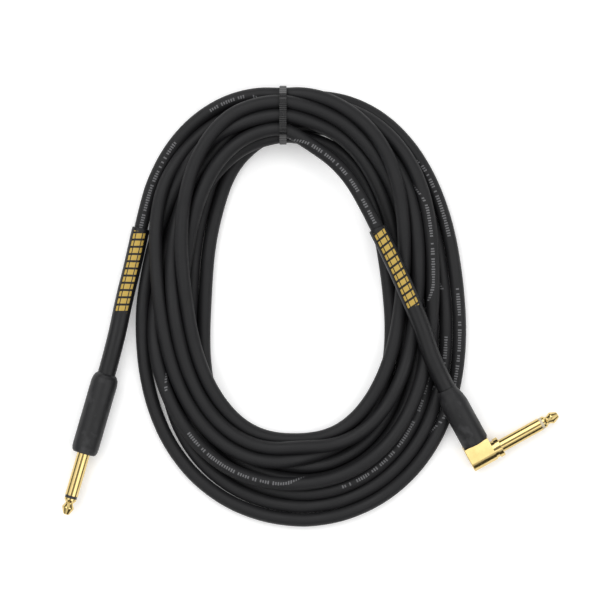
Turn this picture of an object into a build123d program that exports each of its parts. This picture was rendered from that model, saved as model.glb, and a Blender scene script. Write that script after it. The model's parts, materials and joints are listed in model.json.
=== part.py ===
"""A coiled instrument cable: a straight 6.35 mm phone plug, a right-angled one, and the cable between
them, wound in nine turns that a nylon tie holds together at one side. It lies flat on a surface.

Millimetres. +Z is up. The origin is on that surface, under the middle of the box that holds the two
plugs and the tie. Each plug is drawn along its own +X axis and then laid where it belongs."""

from build123d import *
import math
import os

# ---- the cable and its coil ----
CABLE_D = 6.6
CABLE_R = CABLE_D / 2
COIL_CENTER = (-6.5, 6.6)
COIL_HALF_X = 42.4  # the open middle of the coil
COIL_HALF_Y = 70.3
COIL_POWER = 2.45  # a superellipse a little squarer than an ellipse
# How many cable diameters wide the coil is, less one, at angles anticlockwise from +X, in degrees.
COIL_WIDTHS = [
    (0, 5.05), (45, 3.95), (80, 3.1), (97, 3.0), (125, 2.9), (150, 3.3),
    (180, 4.15), (225, 4.9), (270, 6.06), (315, 5.0),
]
OUTLINE_POINTS = 24
# The coil's height where one, two or three layers of turns lie on each other, and in the tie.
ONE_LAYER, TWO_LAYERS, THREE_LAYERS, IN_THE_TIE = 6.9, 12.7, 18.4, 22.4
UPPER_INSET = 0.45  # how many lanes narrower the upper layers are, at both edges
PLUG_GAP = 0.15  # between the coil and the plug that lies across it

# ---- the tie round the coil ----
TIE_X = -13.3
TIE_THICK = 1.1
TIE_WIDE = 3.4
TIE_HEAD = (6.0, 5.4, 4.2)  # along the strap, across it, and high
TIE_ANGLE = 98.5  # where the tie crosses the coil's open edge
TAIL_LONG = 2.5  # the strap's cut end, past its head
TAIL_LOW, TAIL_HIGH = 1.0, 2.2
LAYER = 0.866 * CABLE_D  # the pitch of round turns that nest in three layers

# ---- what both plugs share, measured from the tip's end ----
SHAFT_R = 6.35 / 2
TIP_LONG = 8.2
RING_LONG = 1.4
RING_R = 2.95
SHOULDER_AT = 31.5
ROD_R = 1.2
SOLDER_GAP = 0.15  # between a joined wire and what it is soldered to
BEAD_LONG = 1.8
TUBE_R = 1.9
RIVET_R = 1.8
CORE_R = 1.15
WIRE_R = 0.45
PIGTAIL_R = 0.75
SLEEVE_R = 4.35  # the heat-shrunk sleeve on the cable
BARREL_R = 5.9

# ---- the straight plug ----
STRAIGHT_TIP = (-118.7, -103.6)
STRAIGHT_TURN = 73.8  # degrees from +X, tip to cable
STRAIGHT_JACKET_R = 6.5
STRAIGHT_CUT = 52.0  # where the cable's outer jacket ends inside the plug
STRAIGHT_BARREL_END = 68.5
STRAIGHT_JACKET_END = 71.0

# ---- the right-angled plug: its shaft along +X, its barrel along +Y, and their crossing at 0 ----
ANGLE_CROSSING = (83.76, -75.25, 5.2)
ANGLE_TURN = 29.0  # degrees from +X to the shaft
ANGLE_TILT = 11.0  # the barrel's rise, because it lies across the coil
ANGLE_TIP_AT = 41.55
ANGLE_JACKET_R = 6.6
ANGLE_CUT = 16.0
ANGLE_JACKET_END = 38.6
HEAD_BACK = -6.0
HEAD_FRONT = 5.9
HEAD_HALF = 4.9  # half the head's thickness, and the radius of its round end
HEAD_TOP = 7.9
CAP_THICK = 1.0
STUB_R = 4.7
STUB_END = 13.0

# ---- the routes of the two free stretches, after the run inside each plug ----
STRAIGHT_RUN = 84.0  # how far along the plug's axis the first run ends
STRAIGHT_ROUTE = [
    (-90.6, 0.5, 5.8),
    (-86.3, 17.9, 5.1),
    (-81.6, 34.6, 4.7),
]
STRAIGHT_SLEEVE_AT = 69.1  # where the printed sleeve begins, under the end of the barrel's own
STRAIGHT_MERGE = [(-77.0, 46.5, 4.4), (-70.2, 57.7, 5.0), (-62.0, 68.5, 6.6)]
ANGLE_RUN = 50.0
ANGLE_ROUTE = [
    (54.0, -13.0, 16.9),
    (46.4, 5.0, 17.5),
    (39.2, 20.9, 17.5),
    (31.8, 35.8, 17.0),
    (26.0, 47.3, 16.2),
]
ANGLE_SLEEVE_AT = 32.6
ANGLE_SLEEVE_END = (31.8, 35.8, 17.0)
ANGLE_MERGE = [(19.6, 58.4, 15.2), (11.4, 67.6, 14.4), (1.5, 74.6, 13.8)]

nodes = {}


# ---- helpers ----
def lathe(points):
    """A closed outline of (along, radius) points turned about the X axis."""
    return revolve(make_face(Polyline(*points, close=True)), Axis.X, 360)


def tube(start, end, outer, inner=0.0):
    """A round tube, or a rod, along the X axis."""
    if inner == 0.0:
        return lathe([(start, 0), (start, outer), (end, outer), (end, 0)])
    return lathe([(start, inner), (start, outer), (end, outer), (end, inner)])


def block(low, high):
    """A box between two corners."""
    size = [b - a for a, b in zip(low, high)]
    middle = [(a + b) / 2 for a, b in zip(low, high)]
    return Pos(*middle) * Box(*size)


def along_y(solid):
    """What was drawn along +X, turned to lie along +Y."""
    return Rot(0, 0, 90) * solid


# ---- pieces that both plugs have ----
def tip():
    """The turned tip contact, bored for the rod that holds it."""
    body = lathe([
        (0, 0), (0, 1.1), (0.35, 1.6), (3.2, 2.95), (3.8, 2.9), (5.5, 1.95),
        (6.0, 1.95), (7.3, RING_R), (TIP_LONG, RING_R), (TIP_LONG, 0),
    ])
    return body - tube(2.5, TIP_LONG, ROD_R)


def insulator_ring():
    return tube(TIP_LONG, TIP_LONG + RING_LONG, RING_R, ROD_R)


def rod(rivet_at):
    """The centre rod, with the rivet head that holds the tip's terminal."""
    return tube(2.5, rivet_at, ROD_R) + tube(rivet_at, rivet_at + 1.0, RIVET_R)


def soldered(start, wire_r):
    """The bead of solder round a wire, which just reaches what the wire lies on."""
    return tube(start, start + BEAD_LONG, wire_r + SOLDER_GAP * 0.9, wire_r)


# ---- the straight plug ----
def straight_plug():
    shaft_back, boss_back = 34.5, 40.0
    washer_back = shaft_back + 1.5
    lug_back = washer_back + 0.6
    lug_z, strip_z = 2.0, -CABLE_R
    sleeve = lathe([
        (TIP_LONG + RING_LONG, TUBE_R), (TIP_LONG + RING_LONG, SHAFT_R),
        (SHOULDER_AT, SHAFT_R), (SHOULDER_AT, 5.2), (33.5, 5.2), (33.5, 4.9),
        (boss_back, 4.9), (boss_back, 3.6), (shaft_back, 3.6), (shaft_back, TUBE_R),
    ])
    lug = tube(washer_back, lug_back, 2.6, ROD_R)
    lug += block((washer_back, -1.2, lug_z), (46.0, 1.2, lug_z + 0.6))
    grip = tube(54.0, 60.0, CABLE_R + 0.6, CABLE_R) - block((54, -5, 1.6), (60, 5, 5))
    clamp = tube(boss_back, boss_back + 0.8, 5.2, CABLE_R) + grip
    clamp += block((boss_back, -1.5, strip_z - 0.6), (60.0, 1.5, strip_z))
    clamp -= tube(41.0, 60.0, CABLE_R)
    wire_place = Pos(0, 0, lug_z - WIRE_R - SOLDER_GAP)
    wire = wire_place * tube(41.0, 47.0, WIRE_R)
    core = Pos(0, 0, 0.9) * tube(47.0, STRAIGHT_CUT, CORE_R)
    pigtail_place = Pos(0, 0, strip_z + PIGTAIL_R + SOLDER_GAP)
    pigtail = pigtail_place * tube(44.0, STRAIGHT_CUT, PIGTAIL_R)
    barrel = lathe([
        (33.5, 4.9), (33.5, BARREL_R), (67.3, BARREL_R), (STRAIGHT_BARREL_END, 5.0),
        (STRAIGHT_BARREL_END, CABLE_R + 0.2), (66.0, CABLE_R + 0.2), (66.0, 5.3),
        (boss_back, 5.3), (boss_back, 4.9),
    ])
    end = STRAIGHT_JACKET_END
    jacket = lathe([
        (30.9, 4.7), (30.9, 5.3), (31.7, 6.0), (33.2, 6.4), (35.0, STRAIGHT_JACKET_R),
        (66.5, STRAIGHT_JACKET_R), (68.7, 6.15), (70.2, 5.4), (end, 4.6), (end, SLEEVE_R),
        (STRAIGHT_BARREL_END + 0.4, SLEEVE_R), (STRAIGHT_BARREL_END, 5.0), (67.3, BARREL_R),
        (33.5, BARREL_R), (33.5, 5.2), (SHOULDER_AT, 5.2), (SHOULDER_AT, 4.7),
    ])
    beads = [wire_place * soldered(42.6, WIRE_R), pigtail_place * soldered(45.6, PIGTAIL_R)]
    return {
        "straight_tip": tip(),
        "straight_center_rod": rod(lug_back),
        "straight_insulator_ring": insulator_ring(),
        "straight_insulator_tube": tube(TIP_LONG + RING_LONG, shaft_back, TUBE_R, ROD_R),
        "straight_shaft": sleeve,
        "straight_rear_washer": tube(shaft_back, washer_back, 3.6, ROD_R),
        "straight_tip_lug": lug,
        "straight_ground_clamp": clamp,
        "straight_core_wire": wire,
        "straight_core_insulation": core,
        "straight_shield_pigtail": pigtail,
        "straight_solder_joints": Compound(children=beads),
        "straight_barrel": barrel,
        "straight_barrel_liner": tube(42.0, 65.5, 5.3, 5.0),
        "straight_barrel_shrink": jacket,
    }


# ---- the right-angled plug ----
def head_outline(back, front):
    """A plate across the shaft: round about its axis at one end, and square towards the barrel."""
    round_end = tube(back, front, HEAD_HALF)
    return round_end + block((back, 0, -HEAD_HALF), (front, HEAD_TOP, HEAD_HALF))


def angle_plug():
    turned = Pos(ANGLE_TIP_AT, 0, 0) * Rot(0, 0, 180)  # from the tip's end, to the crossing
    shoulder = ANGLE_TIP_AT - SHOULDER_AT
    seat_back, cavity_r, bore_r = 2.5, 3.6, 3.0
    shaft = lathe([
        (ANGLE_TIP_AT - TIP_LONG - RING_LONG, TUBE_R), (ANGLE_TIP_AT - TIP_LONG - RING_LONG, SHAFT_R),
        (shoulder, SHAFT_R), (shoulder, 4.75), (shoulder - 0.25, 5.0), (7.6, 5.0), (7.6, 4.4),
        (HEAD_FRONT, 4.4), (HEAD_FRONT, 3.9), (seat_back, 3.9), (seat_back, TUBE_R),
    ])
    head = head_outline(HEAD_BACK, HEAD_FRONT)
    head += along_y(tube(HEAD_TOP, STUB_END, STUB_R))
    head -= tube(seat_back, HEAD_FRONT, 3.9)
    head -= tube(HEAD_BACK, seat_back, cavity_r)
    head -= along_y(tube(0, STUB_END, bore_r))
    cap = head_outline(HEAD_BACK - CAP_THICK, HEAD_BACK)
    cap = chamfer(cap.faces().sort_by(Axis.X)[0].edges(), 0.35)
    cap += tube(HEAD_BACK, HEAD_BACK + 1.2, cavity_r, 2.8)
    rivet_at = ANGLE_TIP_AT - 0.9
    lug = tube(0.9, 1.5, 2.4, ROD_R) + block((0.9, 1.0, -1.0), (1.5, 8.0, 1.0))
    lug -= tube(0.9, 1.5, ROD_R)
    wire_place = Pos(0.9 - WIRE_R - SOLDER_GAP, 0, 0)
    wire = wire_place * along_y(tube(5.5, 11.5, WIRE_R))
    core = along_y(tube(11.5, ANGLE_CUT, CORE_R))
    pigtail_place = Pos(0, 0, PIGTAIL_R + 2 * SOLDER_GAP - bore_r)
    pigtail = pigtail_place * along_y(tube(8.0, ANGLE_CUT, PIGTAIL_R))
    barrel = along_y(lathe([
        (HEAD_TOP, STUB_R), (HEAD_TOP, BARREL_R), (30.8, BARREL_R), (32.0, 5.0),
        (32.0, CABLE_R + 0.2), (29.5, CABLE_R + 0.2), (29.5, 5.3), (STUB_END, 5.3), (STUB_END, STUB_R),
    ]))
    end = ANGLE_JACKET_END
    jacket = along_y(lathe([
        (HEAD_TOP, BARREL_R), (HEAD_TOP, 6.35), (8.5, ANGLE_JACKET_R), (29.0, ANGLE_JACKET_R),
        (32.5, 6.1), (36.0, 5.1), (end, 4.75), (end, SLEEVE_R), (34.4, SLEEVE_R), (32.0, 5.0),
        (30.8, BARREL_R),
    ]))
    beads = [
        wire_place * along_y(soldered(5.8, WIRE_R)),
        pigtail_place * along_y(soldered(8.6, PIGTAIL_R)),
    ]
    return {
        "angle_tip": turned * tip(),
        "angle_center_rod": turned * rod(rivet_at),
        "angle_insulator_ring": turned * insulator_ring(),
        "angle_insulator_tube": tube(seat_back, ANGLE_TIP_AT - TIP_LONG - RING_LONG, TUBE_R, ROD_R),
        "angle_shaft": shaft,
        "angle_rear_washer": tube(1.5, seat_back, cavity_r, ROD_R),
        "angle_tip_lug": lug,
        "angle_head": head,
        "angle_head_cap": cap,
        "angle_core_wire": wire,
        "angle_core_insulation": core,
        "angle_shield_pigtail": pigtail,
        "angle_solder_joints": Compound(children=beads),
        "angle_barrel": barrel,
        "angle_barrel_liner": along_y(tube(17.0, 29.0, 5.3, 5.0)),
        "angle_barrel_shrink": jacket,
    }


# ---- where the plugs lie ----
STRAIGHT_PLACE = Pos(*STRAIGHT_TIP, STRAIGHT_JACKET_R) * Rot(0, 0, STRAIGHT_TURN)
ANGLE_PLACE = Pos(*ANGLE_CROSSING) * Rot(0, 0, ANGLE_TURN) * Rot(ANGLE_TILT, 0, 0)


def on_straight(distance):
    """A point on the straight plug's axis, that far from its tip's end."""
    return (STRAIGHT_PLACE * Pos(distance, 0, 0)).position


def on_angle(distance):
    """A point on the right-angled plug's barrel axis, that far from the crossing."""
    return (ANGLE_PLACE * Pos(0, distance, 0)).position


# ---- the cable ----
def rounded(points):
    """Straight runs through the points, joined by arcs as large as the runs allow."""
    points = [Vector(*p) for p in points]
    radii = []
    for before, at, after in zip(points, points[1:], points[2:]):
        turn = (at - before).get_angle(after - at)
        run = min((at - before).length, (after - at).length)
        radii.append(0.45 * run / math.tan(math.radians(turn / 2)))
    print("radii", [round(r) for r in radii])
    return FilletPolyline(*points, radius=radii)


def sweep_ring(path, outer, inner=0.0):
    """A round tube along a path, or a solid one."""
    section = Circle(outer)
    if inner:
        section -= Circle(inner)
    solid = sweep(Plane(origin=path @ 0, z_dir=path % 0) * section, path)
    area = math.pi * (outer**2 - inner**2)
    print("swept", round(path.length, 1), "mm, volume over section", round(solid.volume / area, 1))
    return solid


def coil_width(angle):
    """The coil's width in lanes at an angle, eased between the stated ones."""
    ends = [*COIL_WIDTHS, (COIL_WIDTHS[0][0] + 360, COIL_WIDTHS[0][1])]
    for (a, low), (b, high) in zip(ends, ends[1:]):
        if a <= angle % 360 <= b:
            share = (1 - math.cos(math.pi * (angle % 360 - a) / (b - a))) / 2
            return low + (high - low) * share
    return ends[0][1]


def coil_point(angle, lane):
    """A point of the coil at an angle, that many diameters out from the edge of its open middle."""
    x = COIL_HALF_X * math.cos(math.radians(angle))
    y = COIL_HALF_Y * math.sin(math.radians(angle))
    size = ((abs(x) / COIL_HALF_X) ** COIL_POWER + (abs(y) / COIL_HALF_Y) ** COIL_POWER) ** (1 / COIL_POWER)
    x, y = x / size, y / size
    normal_x = math.copysign(abs(x / COIL_HALF_X) ** (COIL_POWER - 1) / COIL_HALF_X, x)
    normal_y = math.copysign(abs(y / COIL_HALF_Y) ** (COIL_POWER - 1) / COIL_HALF_Y, y)
    out = lane * CABLE_D / math.hypot(normal_x, normal_y)
    return (COIL_CENTER[0] + x + normal_x * out, COIL_CENTER[1] + y + normal_y * out)


def coil_ring(inset, top):
    """A flat ring of the coil's own shape, that many lanes narrower at both edges."""
    angles = [360 * i / OUTLINE_POINTS for i in range(OUTLINE_POINTS)]
    outer = [coil_point(a, coil_width(a) + 1 - inset) for a in angles]
    inner = [coil_point(a, inset) for a in angles]
    outer_face = make_face(Spline(*outer, periodic=True))
    return extrude(outer_face - make_face(Spline(*inner, periodic=True)), top)


def side_cut(points, start, end):
    """What lies inside a (y, z) outline, from one x to another."""
    face = make_face(Polyline(*points, close=True))
    return Pos(start, 0, 0) * extrude(Plane.YZ * face, end - start)


def coil():
    """The outer shape of the nine turns: wide and low round the coil, narrow and high in the tie."""
    far, lift = 150.0, TIE_HEAD[2]
    body = coil_ring(0.0, ONE_LAYER) + coil_ring(UPPER_INSET, IN_THE_TIE)
    body += coil_ring(0.0, 2 * ONE_LAYER + lift) & block((-70, 72, 0), (60, far, far))
    left_top = [
        (-far, TWO_LAYERS), (-66, TWO_LAYERS), (-40, THREE_LAYERS), (42, THREE_LAYERS),
        (66, IN_THE_TIE), (66, far), (-far, far),
    ]
    right_top = [
        (-far, TWO_LAYERS), (30, TWO_LAYERS), (70, IN_THE_TIE), (70, far), (-far, far),
    ]
    underneath = [(48, 0), (74, lift), (far, lift), (far, -5), (48, -5)]
    body -= side_cut(left_top, -far, 0)
    body -= side_cut(right_top, 0, far)
    body -= side_cut(underneath, -far, far)
    return body


def tie():
    """A nylon cable tie, drawn about the bundle's own corners, with its head under the bundle."""
    inner_edge = coil_point(TIE_ANGLE, 0)[1]
    bottom = TIE_HEAD[2] + CABLE_R
    corners = [(0.5, 0), (2.5, 0), (3, 1), (2.5, 2), (0.5, 2), (0, 1)]
    centers = [(inner_edge + CABLE_D * (lane + 0.5), bottom + LAYER * level) for lane, level in corners]
    hull = make_face(Polyline(*centers, close=True))
    inner = offset(hull, CABLE_R, kind=Kind.ARC)
    outer = offset(hull, CABLE_R + TIE_THICK, kind=Kind.ARC)
    strap = extrude(Plane.YZ * (outer - inner), TIE_WIDE / 2, both=True)
    middle = sum(c[0] for c in centers) / len(centers)
    along, across, high = TIE_HEAD
    head = block((-across / 2, middle - along / 2, 0), (across / 2, middle + along / 2, high))
    head = chamfer(head.edges().filter_by(Axis.Z), 0.7)
    tail_at = middle + along / 2
    tail = block((-TIE_WIDE / 2, tail_at, TAIL_LOW), (TIE_WIDE / 2, tail_at + TAIL_LONG, TAIL_HIGH))
    return Pos(TIE_X, 0, 0) * (strap + head + tail)


def beyond(solid, origin, direction, keep):
    """The part of a solid past a plane across the cable, or before it."""
    return split(solid, bisect_by=Plane(origin=origin, z_dir=direction), keep=keep)


def cable():
    """The coil, the two free stretches, and the printed sleeves on them."""
    straight_axis = on_straight(1) - on_straight(0)
    angle_axis = on_angle(1) - on_angle(0)
    straight_path = rounded([on_straight(STRAIGHT_CUT), on_straight(STRAIGHT_RUN), *STRAIGHT_ROUTE])
    angle_path = rounded([on_angle(ANGLE_CUT), on_angle(ANGLE_RUN), *ANGLE_ROUTE])
    straight_tail = sweep_ring(straight_path, CABLE_R)
    angle_tail = sweep_ring(angle_path, CABLE_R)
    straight_sleeve = sweep_ring(straight_path, SLEEVE_R, CABLE_R)
    straight_sleeve = beyond(straight_sleeve, on_straight(STRAIGHT_SLEEVE_AT), straight_axis, Keep.TOP)
    angle_sleeve = sweep_ring(angle_path, SLEEVE_R, CABLE_R)
    angle_sleeve = beyond(angle_sleeve, on_angle(ANGLE_SLEEVE_AT), angle_axis, Keep.TOP)
    last_run = Vector(*ANGLE_SLEEVE_END) - Vector(*ANGLE_ROUTE[2])
    angle_sleeve = beyond(angle_sleeve, ANGLE_SLEEVE_END, last_run, Keep.BOTTOM)

    body = coil()
    body += sweep_ring(rounded([STRAIGHT_ROUTE[-1], *STRAIGHT_MERGE]), CABLE_R)
    body += sweep_ring(rounded([ANGLE_ROUTE[-1], *ANGLE_MERGE]), CABLE_R)
    body -= sweep_ring(angle_path, SLEEVE_R + PLUG_GAP) - angle_tail
    barrel_space = along_y(tube(0, ANGLE_JACKET_END + PLUG_GAP, ANGLE_JACKET_R + PLUG_GAP))
    body -= ANGLE_PLACE * barrel_space
    return {
        "cable_coil": body - straight_tail - angle_tail - straight_sleeve,
        "cable_straight_tail": straight_tail,
        "cable_angle_tail": angle_tail,
        "straight_cable_sleeve": straight_sleeve,
        "angle_cable_sleeve": angle_sleeve,
    }


for name, solid in straight_plug().items():
    nodes[name] = STRAIGHT_PLACE * solid
for name, solid in angle_plug().items():
    nodes[name] = ANGLE_PLACE * solid
nodes.update(cable())
nodes["cable_tie"] = tie()
nodes["cable_coil"] = nodes["cable_coil"] - nodes["cable_tie"]

os.makedirs("parts", exist_ok=True)
for name, solid in nodes.items():
    export_step(solid, f"parts/{name}.step")
    print(name, len(solid.solids()), round(solid.volume, 1))
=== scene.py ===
"""A coiled instrument cable with two gold plugs, on a pale floor, seen from straight above.

Metres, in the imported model's own frame: +Z is up, and the floor is z = 0. The constants from part.py
are in millimetres, as they are there."""

import json
import math

import bpy
import numpy as np
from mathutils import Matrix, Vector

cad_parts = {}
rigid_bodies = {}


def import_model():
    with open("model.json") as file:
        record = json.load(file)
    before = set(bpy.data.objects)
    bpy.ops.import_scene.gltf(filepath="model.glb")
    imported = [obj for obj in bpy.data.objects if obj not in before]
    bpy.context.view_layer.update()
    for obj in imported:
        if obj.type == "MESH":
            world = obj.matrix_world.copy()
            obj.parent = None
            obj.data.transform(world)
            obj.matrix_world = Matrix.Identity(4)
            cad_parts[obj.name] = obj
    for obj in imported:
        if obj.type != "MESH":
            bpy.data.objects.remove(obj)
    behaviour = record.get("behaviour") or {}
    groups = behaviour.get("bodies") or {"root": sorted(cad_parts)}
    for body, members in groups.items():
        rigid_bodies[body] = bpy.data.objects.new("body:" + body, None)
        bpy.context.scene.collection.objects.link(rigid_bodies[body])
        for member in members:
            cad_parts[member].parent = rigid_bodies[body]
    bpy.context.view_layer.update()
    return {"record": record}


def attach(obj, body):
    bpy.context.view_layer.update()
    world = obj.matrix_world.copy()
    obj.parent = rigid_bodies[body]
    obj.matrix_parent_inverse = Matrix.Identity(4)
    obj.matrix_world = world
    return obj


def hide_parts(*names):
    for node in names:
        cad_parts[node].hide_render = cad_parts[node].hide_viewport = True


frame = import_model()
MM = 0.001

# ---- the cable, as part.py has it ----
CABLE_D = 6.6
CABLE_R = CABLE_D / 2
SLEEVE_R = 4.35
COIL_CENTER = (-6.5, 6.6)
COIL_HALF_X, COIL_HALF_Y = 42.4, 70.3
COIL_POWER = 2.45  # of the superellipse round the coil's open middle
TIE_LIFT = 4.2  # the tie's head lies under the turns
TIE_LIFT_REACH = 45.0  # how far along the cable that lifts them

# ---- where the two plugs lie, and which way their cable leaves them ----
STRAIGHT_TIP = np.array((-118.7, -103.6, 6.5))
STRAIGHT_TURN = math.radians(73.8)
STRAIGHT_AXIS = np.array((math.cos(STRAIGHT_TURN), math.sin(STRAIGHT_TURN), 0.0))
ANGLE_CROSSING = np.array((83.76, -75.25, 5.2))
ANGLE_TURN = math.radians(29.0)
ANGLE_TILT = math.radians(11.0)
ANGLE_AXIS = np.array((
    -math.sin(ANGLE_TURN) * math.cos(ANGLE_TILT),
    math.cos(ANGLE_TURN) * math.cos(ANGLE_TILT),
    math.sin(ANGLE_TILT),
))
# Along those two axes: where the cable begins inside the plug, where its sleeve begins, and where its
# straight run ends.
STRAIGHT_CUT, STRAIGHT_SLEEVE_AT, STRAIGHT_RUN = 52.0, 69.1, 84.0
ANGLE_CUT, ANGLE_SLEEVE_AT, ANGLE_RUN = 16.0, 32.6, 50.0
STRAIGHT_SLEEVE_END = (-81.6, 34.6, 4.7)
ANGLE_SLEEVE_END = (31.8, 35.8, 17.0)

# ---- the route of the free stretches, from part.py, with points moved ----
STRAIGHT_ROUTE = [
    STRAIGHT_TIP + STRAIGHT_CUT * STRAIGHT_AXIS,
    STRAIGHT_TIP + STRAIGHT_RUN * STRAIGHT_AXIS,
    (-90.6, 0.5, 5.8), (-86.2, 17.9, 5.1), (-82.8, 33.6, 4.7), (-79.9, 46.0, 4.4),
]
ANGLE_ROUTE = [
    (1.5, 74.6, 17.6), (11.4, 67.6, 16.8), (19.6, 58.4, 16.4), (26.0, 47.3, 16.6),
    (31.8, 35.8, 17.0), (39.2, 20.9, 17.5), (46.4, 5.0, 17.5), (54.0, -13.0, 16.9),
    ANGLE_CROSSING + ANGLE_RUN * ANGLE_AXIS,
    ANGLE_CROSSING + ANGLE_CUT * ANGLE_AXIS,
]

# ---- the turns: each row is one turn, from one pass through the tie to the next ----
# Each pair is how many cable diameters a turn lies out from the coil's open middle, and how many it
# lies above the floor, at each of STATIONS. Angles are anticlockwise from +X, in degrees.
TIE_ANGLE = 97.0
STATIONS = [TIE_ANGLE, 55.0, 0.0, -45.0, -90.0, -135.0, -180.0, TIE_ANGLE - 360]
ROW = 0.866  # the height of one layer in the tie, where the turns nest
UP = 0.87  # the height of a turn that lies on two others, elsewhere
TURNS = [
    [(3, ROW), (1.35, 1.5), (0.5, UP), (0.3, UP), (-0.3, 0), (0.1, UP), (1.8, 2 * UP), (2.5, 2 * ROW)],
    [(2.5, 2 * ROW), (0.5, 1), (2, 0), (3.05, 0), (4.1, 0), (2.05, 0), (0.85, 0), (1, ROW)],
    [(1, ROW), (2.45, 1.65), (2.3, UP), (1.45, UP), (0.9, 0.2), (1.5, 0.9), (2.4, UP), (2, ROW)],
    [(2, ROW), (2.1, 0.8), (3.35, UP), (2.55, UP), (3.6, UP), (3.8, 0.9), (2.85, 0), (1.5, 0)],
    [(1.5, 0), (2.1, 0), (4.05, 0), (4.3, 0), (6.0, 0), (4.65, 0), (1.95, 0), (0, ROW)],
    [(0, ROW), (-1.1, 0.3), (0, 0), (1, 0), (1.96, 0), (2.6, 0.9), (3.4, 0.9), (2.5, 0)],
    [(2.5, 0), (3.1, 0), (5.02, 0), (5.5, 0), (7.15, 0), (4.85, 0), (3.85, 0), (1.5, 2 * ROW)],
    [(1.5, 2 * ROW), (-0.4, 0.8), (1, 0), (2.05, 0), (3.1, 0), (1.1, 0), (-0.15, 0), (0.5, 0)],
    [(0.5, 0), (0.2, 0), (3.1, 0), (3.8, 0.75), (4.95, 0.84), (3.35, 0), (1.3, UP), (0.5, 2 * ROW)],
]
# The straight plug's stretch as it comes in to the tie. Its first four pairs are out of the others' way,
# and it is part of the coil from the step ARRIVES_AT.
ARRIVING = [(12, 0), (12, 0), (12, 0), (12, 0), (10, 0), (7, 0), (4.5, 0), (3, ROW)]
ARRIVES_AT = 31
POINTS_A_TURN = 36
TURN_LONG = 475.0  # millimetres, about
LANE_MIDDLE = 0.5  # lane 0 is the one whose inner edge is the edge of the open middle

# ---- how the turns settle. ROOM and SINK are in cable diameters, and the rest are counts and shares ----
ROUNDS = 600
HELD_ROUNDS = 360  # the first ones, which hold the turns near the places in TURNS
LAST_ROUNDS = 120  # the last ones, which do little more than part them
PUSHES = 2  # in each round
PUSH_SHARE = 0.3  # how much of the missing room each of two turns makes
ROOM = 1.01  # from the middle of one turn to the middle of the next
STIFFNESS = 0.3  # how far each point goes to the middle of its two neighbors
LAST_STIFFNESS = STIFFNESS / 4
HOLD = 0.07  # how far each point goes back to its place in TURNS
LOOSE_HOLD = HOLD / 5
SINK = 0.003  # how far the turns sink in each round
TINY = 1e-9  # keeps a division from being by zero

# ---- how finely the cable and its sleeves are cut, and the shape of a sleeve's rounded lips ----
LINE_DETAIL = 6  # points of the line for each control point
CABLE_SIDES, SLEEVE_SIDES = 20, 32
SLEEVE_STEP = 0.0012  # metres
SLEEVE_LIP = 0.0012
LIP_RINGS = np.array([0.0, 0.05, 0.3, 0.6, 1.0])  # where the rings of a lip are, along it
LIP_RADII = np.array([CABLE_R * 0.97, SLEEVE_R * 0.955, SLEEVE_R * 0.99, SLEEVE_R])  # of the first four

# ---- the print on the jacket. Lengths are in metres, and the rest is in turns round the cable ----
FACES_UP = 0.25  # the tube's second UV along its top
# Stretches of the coil where the print faces up, as turns from the first pass through the tie.
PRINT_UP = [(3.19, 3.26), (3.54, 3.67), (4.28, 4.34), (6.17, 6.38), (8.34, 8.48)]
PRINT_STARTS = -0.05  # before that pass, the straight plug's whole stretch shows its print
PRINT_TURNS_OVER = 0.025
PRINT_UNDER = 0.45
PRINT_EVERY = 0.16
PRINT_SHARE = 0.86  # of each PRINT_EVERY has print
TICK_PITCH = 0.00125  # one printed stroke
TICK_HALF = 0.27  # half of a stroke's width, in pitches
TICK_LOW, TICK_HIGH = 0.026, 0.046  # half of a stroke's length, at least and at most
TICK_MISSING = 0.2  # the share of strokes left out, as between words
INK = (0.26, 0.26, 0.27)
INK_STRENGTH = 0.5

# ---- the gold band on each sleeve. Lengths are in metres ----
GOLD_BAND = 0.040  # at the sleeve's end away from the plug
GOLD_INSET = 0.0018
GOLD_BAR_PITCH = 0.0036
GOLD_LEAN = 1.6  # how many bars each one leans over, for a whole turn round the sleeve
GOLD_HALF = 0.115  # half of the band's width, in turns
BAR_HALF = (0.33, 0.37)  # half of a bar's width, in pitches, from full gold to none
INLAY_AT, INLAY_HALF = 0.06, 0.009  # the black line along each side of the band, in turns

# ---- the view and the studio ----
CAMERA_AT = (-0.0051, 0.0005, 1.6)
VIEW_WIDE = 0.291  # what the camera sees, across, at the height VIEW_LEVEL
VIEW_LEVEL = 0.008
FLOOR_HALF = 3.0
FLOOR_GRAY = 0.97
FLOOR_GLOW = 0.2
KEY_AT, KEY_POWER = (-0.5, 0.6, 1.1), 5
FILL_AT, FILL_POWER = (0.7, -0.3, 0.9), 3
LIGHT_WIDE = 1.1
# How bright the studio is, from the horizon to straight above, where the camera's own dark side is.
SKY = [(0.0, 0.05), (0.33, 0.1), (0.52, 0.7), (0.72, 1.0), (0.93, 0.95), (0.975, 0.22), (1.0, 0.18)]
SKY_STRENGTH = 1.35
# The studio's dark corner, which the bright gold mirrors: its direction, and the cosines of its width.
DARK_TOWARD = (0.39, -0.70, 0.60)
DARK_FROM, DARK_FULL = 0.88, 0.93
DARK_GRAY = 0.04

TEETH_PER_METRE = 300  # the wave texture's own scale
NOISE_LOW, NOISE_HIGH = 0.3, 0.7  # the range that a noise texture's values mostly lie in
TIE_ROUNDING = 0.0003


# ---- the coil's control points ----
def ease(share):
    return (1 - np.cos(np.pi * share)) / 2


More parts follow.
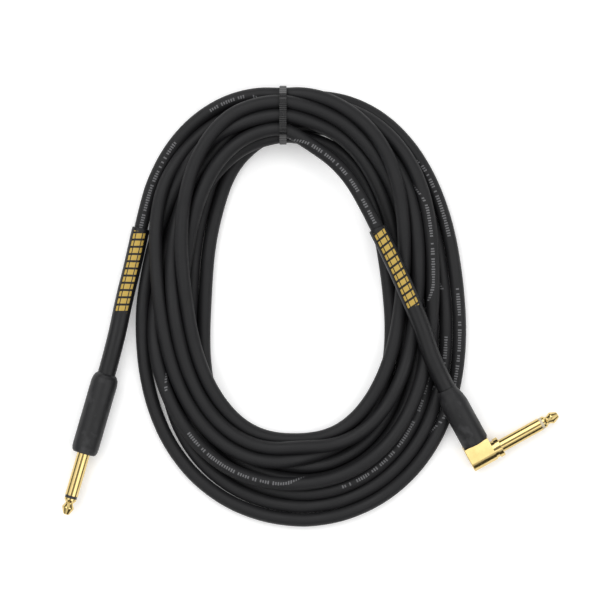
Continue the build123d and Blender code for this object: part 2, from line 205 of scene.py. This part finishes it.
def coil_point(angle, lane):
    """A point of the coil at an angle, that many diameters out from the edge of its open middle."""
    x = COIL_HALF_X * math.cos(math.radians(angle))
    y = COIL_HALF_Y * math.sin(math.radians(angle))
    power_x = (abs(x) / COIL_HALF_X) ** COIL_POWER
    power_y = (abs(y) / COIL_HALF_Y) ** COIL_POWER
    size = (power_x + power_y) ** (1 / COIL_POWER)
    x, y = x / size, y / size
    normal_x = math.copysign(abs(x / COIL_HALF_X) ** (COIL_POWER - 1) / COIL_HALF_X, x)
    normal_y = math.copysign(abs(y / COIL_HALF_Y) ** (COIL_POWER - 1) / COIL_HALF_Y, y)
    out = lane * CABLE_D / math.hypot(normal_x, normal_y)
    return COIL_CENTER[0] + x + normal_x * out, COIL_CENTER[1] + y + normal_y * out


def turn_angle(step):
    return TIE_ANGLE - 360 * step / POINTS_A_TURN


def wanted_turns():
    """Where each turn would lie if it took no room: lane and height, in cable diameters."""
    rows = [*TURNS, ARRIVING]
    places = np.zeros((len(rows), POINTS_A_TURN + 1, 2))
    for turn, row in enumerate(rows):
        for step in range(POINTS_A_TURN + 1):
            angle = turn_angle(step)
            i = sum(angle < station for station in STATIONS[1:-1])
            share = ease((STATIONS[i] - angle) / (STATIONS[i] - STATIONS[i + 1]))
            places[turn, step] = np.array(row[i]) * (1 - share) + np.array(row[i + 1]) * share
    return places


def tie_lift():
    """How high the lowest turn is held at each step by the tie's head, in diameters."""
    steps = np.arange(POINTS_A_TURN + 1)
    away = np.minimum(steps, POINTS_A_TURN - steps) * TURN_LONG / POINTS_A_TURN
    return TIE_LIFT / CABLE_D * np.clip(1 - away / TIE_LIFT_REACH, 0, None)


def settled_turns():
    """The turns pushed apart wherever they would share room, and smoothed as a stiff cable is. Their
    two ends stay where they are in the tie."""
    lowest = tie_lift()
    wanted = wanted_turns()
    wanted[:, :, 1] += lowest
    places = wanted.copy()
    same = np.eye(len(places), dtype=bool)
    for done in range(ROUNDS):
        last = done >= ROUNDS - LAST_ROUNDS
        pull = 0 if last else HOLD if done < HELD_ROUNDS else LOOSE_HOLD
        for _ in range(PUSHES):
            apart = places[:, None] - places[None]
            distance = np.sqrt((apart ** 2).sum(-1)) + TINY
            short = np.clip(ROOM - distance, 0, None)
            short[same] = 0
            push = (apart / distance[..., None] * short[..., None]).sum(1) * PUSH_SHARE
            places[:, 1:-1] += push[:, 1:-1]
            places[:, :, 1] = np.maximum(places[:, :, 1], lowest)
        middle = (places[:, :-2] + places[:, 2:]) / 2
        places[:, 1:-1] += (middle - places[:, 1:-1]) * (LAST_STIFFNESS if last else STIFFNESS)
        places[:, 1:-1] += (wanted[:, 1:-1] - places[:, 1:-1]) * pull
        places[:, 1:-1, 1] -= SINK
        places[:, :, 1] = np.maximum(places[:, :, 1], lowest)
    return places


def coil_points():
    """The coil's control points, in millimetres, from where the cable comes beside it to the last
    pass through the tie."""
    *turns, arriving = settled_turns()
    steps = [(step, arriving[step]) for step in range(ARRIVES_AT, POINTS_A_TURN)]
    for row in turns:
        steps += list(enumerate(row))[:POINTS_A_TURN]
    steps.append((POINTS_A_TURN, turns[-1][-1]))
    points = []
    for step, (lane, height) in steps:
        x, y = coil_point(turn_angle(step), lane + LANE_MIDDLE)
        points.append((x, y, CABLE_R + height * CABLE_D))
    return points


# ---- curves and tubes ----
def smooth_line(points):
    """Points read along the NURBS curve whose control points these are, in metres."""
    curve = bpy.data.curves.new("route", "CURVE")
    curve.dimensions = "3D"
    curve.resolution_u = LINE_DETAIL
    spline = curve.splines.new("NURBS")
    spline.points.add(len(points) - 1)
    for target, point in zip(spline.points, points):
        target.co = (*[float(value) * MM for value in point], 1.0)
    spline.order_u = 3
    spline.use_endpoint_u = True
    holder = bpy.data.objects.new("route", curve)
    mesh = bpy.data.meshes.new_from_object(holder)
    points_read = np.array([vertex.co[:] for vertex in mesh.vertices])
    bpy.data.objects.remove(holder)
    bpy.data.curves.remove(curve)
    bpy.data.meshes.remove(mesh)
    return points_read


def distances(line):
    """How far along the line each of its points is."""
    steps = np.linalg.norm(np.diff(line, axis=0), axis=1)
    return np.concatenate([[0.0], np.cumsum(steps)])


def nearest(line, point):
    """How far along a line, in metres, it comes nearest to a point in millimetres."""
    return distances(line)[np.linalg.norm(line - np.array(point) * MM, axis=1).argmin()]


def stretch(line, start, end):
    """Points of a line between two distances along it, closer together at its two lips."""
    lip = LIP_RINGS * SLEEVE_LIP
    middle = np.arange(start + SLEEVE_LIP + SLEEVE_STEP, end - SLEEVE_LIP - SLEEVE_STEP / 2, SLEEVE_STEP)
    places = np.concatenate([start + lip, middle, (end - lip)[::-1]])
    along = distances(line)
    return np.stack([np.interp(places, along, line[:, axis]) for axis in range(3)], axis=1)


def tube(name, line, radius, sides, roll=0.0):
    """A round tube along a line. radius is a number, or one for each point of the line. Its UVs are
    metres along it and turns round it, and roll, in turns, is added to the second."""
    along = distances(line)
    heading = np.gradient(line, axis=0)
    heading /= np.linalg.norm(heading, axis=1)[:, None]
    side = np.cross(heading, (0.0, 0.0, 1.0))
    side /= np.linalg.norm(side, axis=1)[:, None]
    up = np.cross(side, heading)
    radius = np.broadcast_to(radius, len(line))
    roll = np.broadcast_to(roll, len(line))
    vertices, faces, uvs = [], [], []
    for i, point in enumerate(line):
        for k in range(sides):
            angle = 2 * math.pi * k / sides
            vertices.append(point + radius[i] * (math.cos(angle) * side[i] + math.sin(angle) * up[i]))
    for i in range(len(line) - 1):
        ring, next_ring = i * sides, (i + 1) * sides
        for k in range(sides):
            after = (k + 1) % sides
            faces.append((ring + k, ring + after, next_ring + after, next_ring + k))
            turn_a, turn_b = k / sides, (k + 1) / sides
            uvs += [
                (along[i], turn_a + roll[i]), (along[i], turn_b + roll[i]),
                (along[i + 1], turn_b + roll[i + 1]), (along[i + 1], turn_a + roll[i + 1]),
            ]
    last = (len(line) - 1) * sides
    faces.append(tuple(range(sides - 1, -1, -1)))
    faces.append(tuple(range(last, last + sides)))
    uvs += [(0.0, 0.0)] * (2 * sides)
    mesh = bpy.data.meshes.new(name)
    mesh.from_pydata([tuple(v) for v in vertices], [], faces)
    layer = mesh.uv_layers.new(name="along")
    layer.data.foreach_set("uv", np.array(uvs, dtype=np.float32).ravel())
    mesh.shade_smooth()
    mesh.update()
    piece = bpy.data.objects.new(name, mesh)
    bpy.context.collection.objects.link(piece)
    return piece


def print_roll(line, route_points):
    """How far round the cable the print is at each point of the line: up in places, and under it
    elsewhere. It is up along both free stretches."""
    along = distances(line)

    def distance_at(turns):
        before = len(STRAIGHT_ROUTE) + POINTS_A_TURN - ARRIVES_AT
        share = (before + turns * POINTS_A_TURN) / (route_points - 1)
        return along[int(round(share * (len(line) - 1)))]

    shown = [(0.0, distance_at(PRINT_STARTS)), (nearest(line, ANGLE_ROUTE[0]), along[-1])]
    shown += [(distance_at(start), distance_at(end)) for start, end in PRINT_UP]
    away = np.min([np.maximum(start - along, along - end) for start, end in shown], axis=0)
    return PRINT_UNDER * ease(np.clip(away / PRINT_TURNS_OVER, 0, 1))


# ---- the camera, the floor and the lights ----
def camera():
    data = bpy.data.cameras.new("camera")
    data.angle = 2 * math.atan(VIEW_WIDE / 2 / (CAMERA_AT[2] - VIEW_LEVEL))
    view = bpy.data.objects.new("camera", data)
    view.location = CAMERA_AT
    bpy.context.collection.objects.link(view)
    bpy.context.scene.camera = view


def area_light(name, location, power):
    """A square light that faces the origin."""
    data = bpy.data.lights.new(name, "AREA")
    data.shape = "RECTANGLE"
    data.size, data.size_y = LIGHT_WIDE, LIGHT_WIDE
    data.energy = power
    light = bpy.data.objects.new(name, data)
    light.location = location
    light.rotation_euler = (-Vector(location)).to_track_quat("-Z", "Y").to_euler()
    bpy.context.collection.objects.link(light)


def floor():
    mesh = bpy.data.meshes.new("floor")
    h = FLOOR_HALF
    mesh.from_pydata([(-h, -h, 0), (h, -h, 0), (h, h, 0), (-h, h, 0)], [], [(0, 1, 2, 3)])
    ground = bpy.data.objects.new("floor", mesh)
    bpy.context.collection.objects.link(ground)
    material = bpy.data.materials.new("floor")
    material.use_nodes = True
    shader = material.node_tree.nodes["Principled BSDF"]
    shader.inputs["Base Color"].default_value = (FLOOR_GRAY, FLOOR_GRAY, FLOOR_GRAY, 1)
    shader.inputs["Roughness"].default_value = 0.9
    shader.inputs["Emission Color"].default_value = (1, 1, 1, 1)
    shader.inputs["Emission Strength"].default_value = FLOOR_GLOW
    mesh.materials.append(material)


def studio():
    """A pale room that is darker low down and straight above, with one dark corner and two soft lights."""
    world = bpy.data.worlds.new("studio")
    world.use_nodes = True
    nodes, links = world.node_tree.nodes, world.node_tree.links
    direction = nodes.new("ShaderNodeTexCoord").outputs["Generated"]
    parts = nodes.new("ShaderNodeSeparateXYZ")
    ramp = nodes.new("ShaderNodeValToRGB")
    links.new(direction, parts.inputs[0])
    links.new(parts.outputs["Z"], ramp.inputs["Fac"])
    stops = ramp.color_ramp.elements
    stops[0].position, stops[1].position = SKY[0][0], SKY[-1][0]
    for height, _ in SKY[1:-1]:
        stops.new(height)
    for stop, (_, gray) in zip(stops, SKY):
        stop.color = (gray, gray, gray, 1)
    toward = nodes.new("ShaderNodeVectorMath")
    toward.operation = "DOT_PRODUCT"
    toward.inputs[1].default_value = Vector(DARK_TOWARD).normalized()
    links.new(direction, toward.inputs[0])
    patch = nodes.new("ShaderNodeMapRange")
    links.new(toward.outputs["Value"], patch.inputs["Value"])
    patch.inputs["From Min"].default_value = DARK_FROM
    patch.inputs["From Max"].default_value = DARK_FULL
    mix = nodes.new("ShaderNodeMix")
    mix.data_type = "RGBA"
    links.new(patch.outputs[0], mix.inputs["Factor"])
    links.new(ramp.outputs["Color"], mix.inputs[6])
    mix.inputs[7].default_value = (DARK_GRAY, DARK_GRAY, DARK_GRAY, 1)
    links.new(mix.outputs[2], nodes["Background"].inputs["Color"])
    nodes["Background"].inputs["Strength"].default_value = SKY_STRENGTH
    bpy.context.scene.world = world
    area_light("key", KEY_AT, KEY_POWER)
    area_light("fill", FILL_AT, FILL_POWER)
    bpy.context.scene.view_settings.view_transform = "Standard"


# ---- materials ----
class Shader:
    """A material with one Principled shader, and short calls for its nodes. A value that a call takes
    is a number or color, or a node's output."""

    def __init__(self, name, color, roughness, metallic=0.0):
        self.material = bpy.data.materials.new(name)
        self.material.use_nodes = True
        self.nodes = self.material.node_tree.nodes
        self.links = self.material.node_tree.links
        self.principled = self.nodes["Principled BSDF"]
        self.set("Base Color", (*color, 1))
        self.set("Roughness", roughness)
        self.set("Metallic", metallic)

    def feed(self, socket, value):
        if hasattr(value, "is_output"):
            self.links.new(value, socket)
        else:
            socket.default_value = value

    def set(self, name, value):
        self.feed(self.principled.inputs[name], value)

    def node(self, kind, **inputs):
        made = self.nodes.new(kind)
        for name, value in inputs.items():
            self.feed(made.inputs[name.replace("_", " ")], value)
        return made

    def math(self, operation, first, second=0.0):
        made = self.nodes.new("ShaderNodeMath")
        made.operation = operation
        self.feed(made.inputs[0], first)
        self.feed(made.inputs[1], second)
        return made.outputs[0]

    def off(self, value, middle):
        """How far a value is from another."""
        return self.math("ABSOLUTE", self.math("SUBTRACT", value, middle))

    def off_middle(self, cells):
        """How far a place is from the middle of its cell."""
        return self.off(self.math("FRACT", cells), 0.5)

    def places(self):
        return self.nodes.new("ShaderNodeTexCoord").outputs["Object"]

    def along_and_turn(self):
        """A tube's own two coordinates: metres along it, and the place round it from 0 to 1."""
        uv = self.nodes.new("ShaderNodeTexCoord").outputs["UV"]
        parts = self.node("ShaderNodeSeparateXYZ", Vector=uv).outputs
        return parts[0], self.math("FRACT", parts[1])

    def noise(self, scale, detail):
        return self.node("ShaderNodeTexNoise", Vector=self.places(), Scale=scale, Detail=detail).outputs[0]

    def between(self, factor, low, high, start=NOISE_LOW, end=NOISE_HIGH):
        """From low to high, as the factor goes from start to end."""
        return self.node(
            "ShaderNodeMapRange", Value=factor, From_Min=start, From_Max=end, To_Min=low, To_Max=high,
        ).outputs[0]

    def blend(self, factor, low, high):
        """From one color to the other, where each is a tuple of three or a node's output."""
        made = self.nodes.new("ShaderNodeMix")
        made.data_type = "RGBA"
        self.feed(made.inputs["Factor"], factor)
        for socket, color in ((made.inputs[6], low), (made.inputs[7], high)):
            self.feed(socket, color if hasattr(color, "is_output") else (*color, 1))
        return made.outputs[2]

    def bump(self, height, strength, distance):
        made = self.node("ShaderNodeBump", Height=height, Strength=strength, Distance=distance)
        self.set("Normal", made.outputs[0])


def jacket_material():
    """The cable's soft matt black jacket, with a line of small pale ticks along it."""
    s = Shader("jacket", (0.0095, 0.0095, 0.0105), 0.55)
    s.set("Specular IOR Level", 0.3)
    mottle = s.noise(70, 4)
    s.set("Roughness", s.between(mottle, 0.5, 0.66))
    s.bump(s.noise(2200, 2), 0.15, 0.0002)
    along, turn = s.along_and_turn()
    cells = s.math("DIVIDE", along, TICK_PITCH)
    stroke = s.node("ShaderNodeTexWhiteNoise")
    stroke.noise_dimensions = "1D"
    s.feed(stroke.inputs["W"], s.math("FLOOR", cells))
    luck = stroke.outputs["Value"]
    long = s.math("LESS_THAN", s.off(turn, FACES_UP), s.between(luck, TICK_LOW, TICK_HIGH, 0.0, 1.0))
    wide = s.math("LESS_THAN", s.off_middle(cells), TICK_HALF)
    present = s.math("GREATER_THAN", luck, TICK_MISSING)
    shown = s.math("LESS_THAN", s.math("FRACT", s.math("DIVIDE", along, PRINT_EVERY)), PRINT_SHARE)
    ink = s.math("MULTIPLY", s.math("MULTIPLY", long, wide), s.math("MULTIPLY", present, shown))
    base = s.blend(mottle, (0.0075, 0.0075, 0.0085), (0.0125, 0.0125, 0.0135))
    s.set("Base Color", s.blend(s.math("MULTIPLY", ink, INK_STRENGTH), base, INK))
    return s.material


def printed_sleeve_material(start, end):
    """The black sleeve, with a plain gold band of bars between two distances along it."""
    s = Shader("printed_sleeve", (0.009, 0.009, 0.01), 0.45)
    s.set("Specular IOR Level", 0.32)
    mottle = s.noise(110, 3)
    s.set("Roughness", s.between(mottle, 0.38, 0.52))
    s.bump(s.noise(1500, 2), 0.12, 0.0002)
    along, turn = s.along_and_turn()
    off = s.off(turn, FACES_UP)
    lean = s.math("MULTIPLY", s.math("SUBTRACT", turn, FACES_UP), GOLD_LEAN)
    cells = s.math("ADD", s.math("DIVIDE", s.math("SUBTRACT", along, start), GOLD_BAR_PITCH), lean)
    wide = s.between(s.off_middle(cells), 1.0, 0.0, *BAR_HALF)
    inside = s.math("MULTIPLY", s.math("GREATER_THAN", along, start), s.math("LESS_THAN", along, end))
    inlay = s.math("GREATER_THAN", s.off(off, INLAY_AT), INLAY_HALF)
    bars = s.math("MULTIPLY", s.math("LESS_THAN", off, GOLD_HALF), inlay)
    gold = s.math("MULTIPLY", s.math("MULTIPLY", wide, bars), inside)
    dark = s.blend(mottle, (0.005, 0.005, 0.0058), (0.008, 0.008, 0.0088))
    s.set("Base Color", s.blend(gold, dark, (0.5, 0.34, 0.07)))
    return s.material


def gold_material():
    """Polished gold plate, with fine wear."""
    s = Shader("gold_plate", (0.72, 0.55, 0.25), 0.14, 1.0)
    cloud = s.noise(160, 3)
    s.set("Roughness", s.between(cloud, 0.07, 0.2))
    s.set("Base Color", s.blend(cloud, (0.74, 0.57, 0.26), (0.6, 0.45, 0.17)))
    s.bump(s.noise(1800, 2), 0.05, 0.0001)
    return s.material


def shrink_material():
    """Heat-shrink tube: matt black with a fine grain, and pale scuffs where it has been handled."""
    black = (0.0105, 0.0105, 0.0115)
    s = Shader("shrink", black, 0.5)
    s.set("Specular IOR Level", 0.35)
    patch = s.noise(120, 4)
    scuffs = s.between(patch, 0.0, 0.6, 0.52, 0.78)
    s.set("Base Color", s.blend(scuffs, black, (0.09, 0.09, 0.094)))
    s.set("Roughness", s.between(patch, 0.42, 0.62))
    s.bump(s.noise(1400, 3), 0.2, 0.0002)
    return s.material


def nylon_material():
    """The tie's glossy black nylon, with the fine teeth across its strap."""
    s = Shader("nylon", (0.007, 0.007, 0.0075), 0.24)
    s.set("Specular IOR Level", 0.4)
    teeth = s.node("ShaderNodeTexWave", Vector=s.places(), Scale=TEETH_PER_METRE)
    teeth.bands_direction = "Y"
    s.bump(teeth.outputs["Fac"], 0.3, 0.0002)
    cloud = s.noise(300, 2)
    s.set("Roughness", s.between(cloud, 0.18, 0.32))
    s.set("Base Color", s.blend(cloud, (0.005, 0.005, 0.0055), (0.01, 0.01, 0.0105)))
    return s.material


def plain_material(name, color, roughness, metallic=0.0):
    """A part's own color, with a fine uneven finish."""
    s = Shader(name, color, roughness, metallic)
    uneven = s.noise(900, 2)
    s.set("Roughness", s.between(uneven, roughness * 0.85, roughness * 1.2))
    darker = tuple(value * 0.85 for value in color)
    s.set("Base Color", s.blend(uneven, darker, color))
    s.bump(uneven, 0.08, 0.0001)
    return s.material


def sleeve(name, node, line, start, end, band_at_start):
    """A heat-shrunk sleeve along the cable, with its gold band at one end."""
    run = stretch(line, start, end)
    radius = np.full(len(run), SLEEVE_R)
    rings = len(LIP_RADII)
    radius[:rings], radius[-rings:] = LIP_RADII, LIP_RADII[::-1]
    piece = tube(name, run, radius * MM, SLEEVE_SIDES)
    band = (GOLD_INSET, GOLD_INSET + GOLD_BAND)
    if not band_at_start:
        band = (end - start - band[1], end - start - band[0])
    piece.data.materials.append(printed_sleeve_material(*band))
    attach(piece, "root")
    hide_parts(node)


camera()
floor()
studio()

# ---- the cable, from the straight plug to the right-angled one ----
route = [*STRAIGHT_ROUTE, *coil_points(), *ANGLE_ROUTE]
line = smooth_line(route)
cable = tube("cable", line, CABLE_R * MM, CABLE_SIDES, print_roll(line, len(route)))
cable.data.materials.append(jacket_material())
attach(cable, "root")
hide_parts("cable_coil", "cable_straight_tail", "cable_angle_tail")

# ---- the printed sleeves ----
sleeve(
    "straight_sleeve", "straight_cable_sleeve", line,
    (STRAIGHT_SLEEVE_AT - STRAIGHT_CUT) * MM, nearest(line, STRAIGHT_SLEEVE_END), False,
)
sleeve(
    "angle_sleeve", "angle_cable_sleeve", line,
    nearest(line, ANGLE_SLEEVE_END), nearest(line, ANGLE_CROSSING + ANGLE_SLEEVE_AT * ANGLE_AXIS), True,
)

# ---- the CAD pieces' materials, for each slot that still shows ----
FINISHES = {
    "gold_plate": gold_material(),
    "shrink": shrink_material(),
    "brass_bare": plain_material("brass_bare", (0.62, 0.43, 0.18), 0.3, 1.0),
    "insulator": plain_material("insulator", (0.015, 0.015, 0.016), 0.4),
    "tinned_steel": plain_material("tinned_steel", (0.6, 0.6, 0.58), 0.35, 1.0),
    "liner": plain_material("liner", (0.6, 0.58, 0.52), 0.7),
    "core_plastic": plain_material("core_plastic", (0.75, 0.73, 0.67), 0.45),
    "copper": plain_material("copper", (0.72, 0.36, 0.2), 0.35, 1.0),
    "solder": plain_material("solder", (0.55, 0.55, 0.54), 0.45, 1.0),
    "nylon": nylon_material(),
}
PALE_RING = plain_material("pale_ring", (0.62, 0.55, 0.4), 0.35)
for part in frame["record"]["subparts"]:
    if part["material_slot"] in FINISHES:
        node = bpy.data.objects[part["node"]]
        pale = part["node"] == "angle_insulator_ring"
        for slot in node.material_slots:
            slot.material = PALE_RING if pale else FINISHES[part["material_slot"]]

rounding = bpy.data.objects["cable_tie"].modifiers.new("edges", "BEVEL")
rounding.width = TIE_ROUNDING
rounding.segments = 2
rounding.limit_method = "ANGLE"
rounding.angle_limit = math.radians(40)
